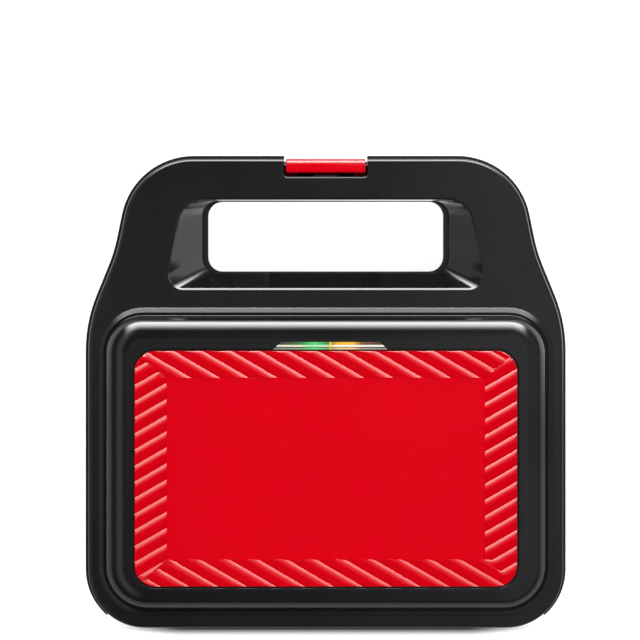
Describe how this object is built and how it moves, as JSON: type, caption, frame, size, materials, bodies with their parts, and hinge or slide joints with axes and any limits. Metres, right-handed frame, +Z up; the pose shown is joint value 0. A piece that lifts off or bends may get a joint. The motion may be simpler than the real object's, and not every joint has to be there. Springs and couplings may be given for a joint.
{
  "type": "sandwich maker",
  "caption": "Countertop sandwich maker with a hinged lid, carrying handle, front latch, red ribbed top panel and removable sandwich plates.",
  "frame": {"origin": "middle of the outline, on the plane that the feet stand on", "axes": "+X to the right of a person at the handle, +Y from the handle to the hinge, +Z up"},
  "size_m": [0.2528, 0.2472, 0.088],
  "materials": {
    "gloss_black": "deep gloss",
    "liner_black": "fine satin grain",
    "plate_coating": "dark non-stick coating on cast aluminium, satin",
    "heater_steel": "dull drawn tube",
    "tray_steel": "aluminised sheet",
    "spring_steel": "bright drawn steel",
    "screw_steel": "zinc plated",
    "red_gloss": "semi-gloss",
    "clear_lens": "clear moulding",
    "green_lamp": "glowing",
    "amber_lamp": "glowing",
    "board_green": "solder mask",
    "block_white": "ceramic white",
    "switch_white": "ceramic",
    "wire_sleeve": "glass-fibre sleeve",
    "foot_rubber": "matte"
  },
  "bodies": {
    "base": {"base_shell": "gloss_black", "base_frame": "liner_black", "lower_plate": "plate_coating", "lower_element": "heater_steel", "lower_element_clips": "tray_steel", "lower_reflector": "tray_steel", "thermostat": "switch_white", "thermal_fuse": "screw_steel", "terminal_block": "block_white", "base_wiring": "wire_sleeve", "cord_gland": "foot_rubber", "base_screws": "screw_steel", "foot_screws": "screw_steel", "foot_front_left": "foot_rubber", "foot_front_right": "foot_rubber", "foot_back_left": "foot_rubber", "foot_back_right": "foot_rubber", "lower_clip_spring_left": "spring_steel", "lower_clip_spring_right": "spring_steel", "latch_catch": "spring_steel", "hinge_pin_left": "spring_steel", "hinge_pin_right": "spring_steel", "hinge_sleeve": "wire_sleeve"},
    "lid": {"lid_cover": "gloss_black", "lid_frame": "liner_black", "upper_plate": "plate_coating", "upper_element": "heater_steel", "upper_element_clips": "tray_steel", "upper_reflector": "tray_steel", "top_panel": "red_gloss", "panel_clips": "spring_steel", "indicator_lens": "clear_lens", "indicator_board": "board_green", "power_led": "green_lamp", "ready_led": "amber_lamp", "lid_wiring": "wire_sleeve", "lid_screws": "screw_steel", "latch_pin": "spring_steel", "latch_spring": "spring_steel", "upper_clip_spring_left": "spring_steel", "upper_clip_spring_right": "spring_steel"},
    "latch": {"latch": "red_gloss"},
    "lower_clip_left": {"lower_clip_left": "liner_black"},
    "lower_clip_right": {"lower_clip_right": "liner_black"},
    "upper_clip_left": {"upper_clip_left": "liner_black"},
    "upper_clip_right": {"upper_clip_right": "liner_black"}
  },
  "joints": [
    {"name": "lid_hinge", "type": "hinge", "parent": "base", "child": "lid", "pos_m": [0, 0.11865, 0.0465], "axis": [-1, 0, 0], "range_deg": [0, 105], "deforming": ["latch_catch"]},
    {"name": "latch_pivot", "type": "hinge", "parent": "lid", "child": "latch", "pos_m": [0, -0.11755, 0.065], "axis": [-1, 0, 0], "range_deg": [0, 20], "stiffness_Nm_per_rad": 0.08, "springref_deg": -11.46, "deforming": ["latch_spring"]},
    {"name": "lower_clip_left_slide", "type": "slide", "parent": "base", "child": "lower_clip_left", "axis": [0, -1, 0], "range_m": [0, 0.0025], "stiffness_N_per_m": 400, "springref_m": -0.002, "deforming": ["lower_clip_spring_left"]},
    {"name": "lower_clip_right_slide", "type": "slide", "parent": "base", "child": "lower_clip_right", "axis": [0, -1, 0], "range_m": [0, 0.0025], "stiffness_N_per_m": 400, "springref_m": -0.002, "deforming": ["lower_clip_spring_right"]},
    {"name": "upper_clip_left_slide", "type": "slide", "parent": "lid", "child": "upper_clip_left", "axis": [0, -1, 0], "range_m": [0, 0.0025], "stiffness_N_per_m": 400, "springref_m": -0.002, "deforming": ["upper_clip_spring_left"]},
    {"name": "upper_clip_right_slide", "type": "slide", "parent": "lid", "child": "upper_clip_right", "axis": [0, -1, 0], "range_m": [0, 0.0025], "stiffness_N_per_m": 400, "springref_m": -0.002, "deforming": ["upper_clip_spring_right"]}
  ]
}
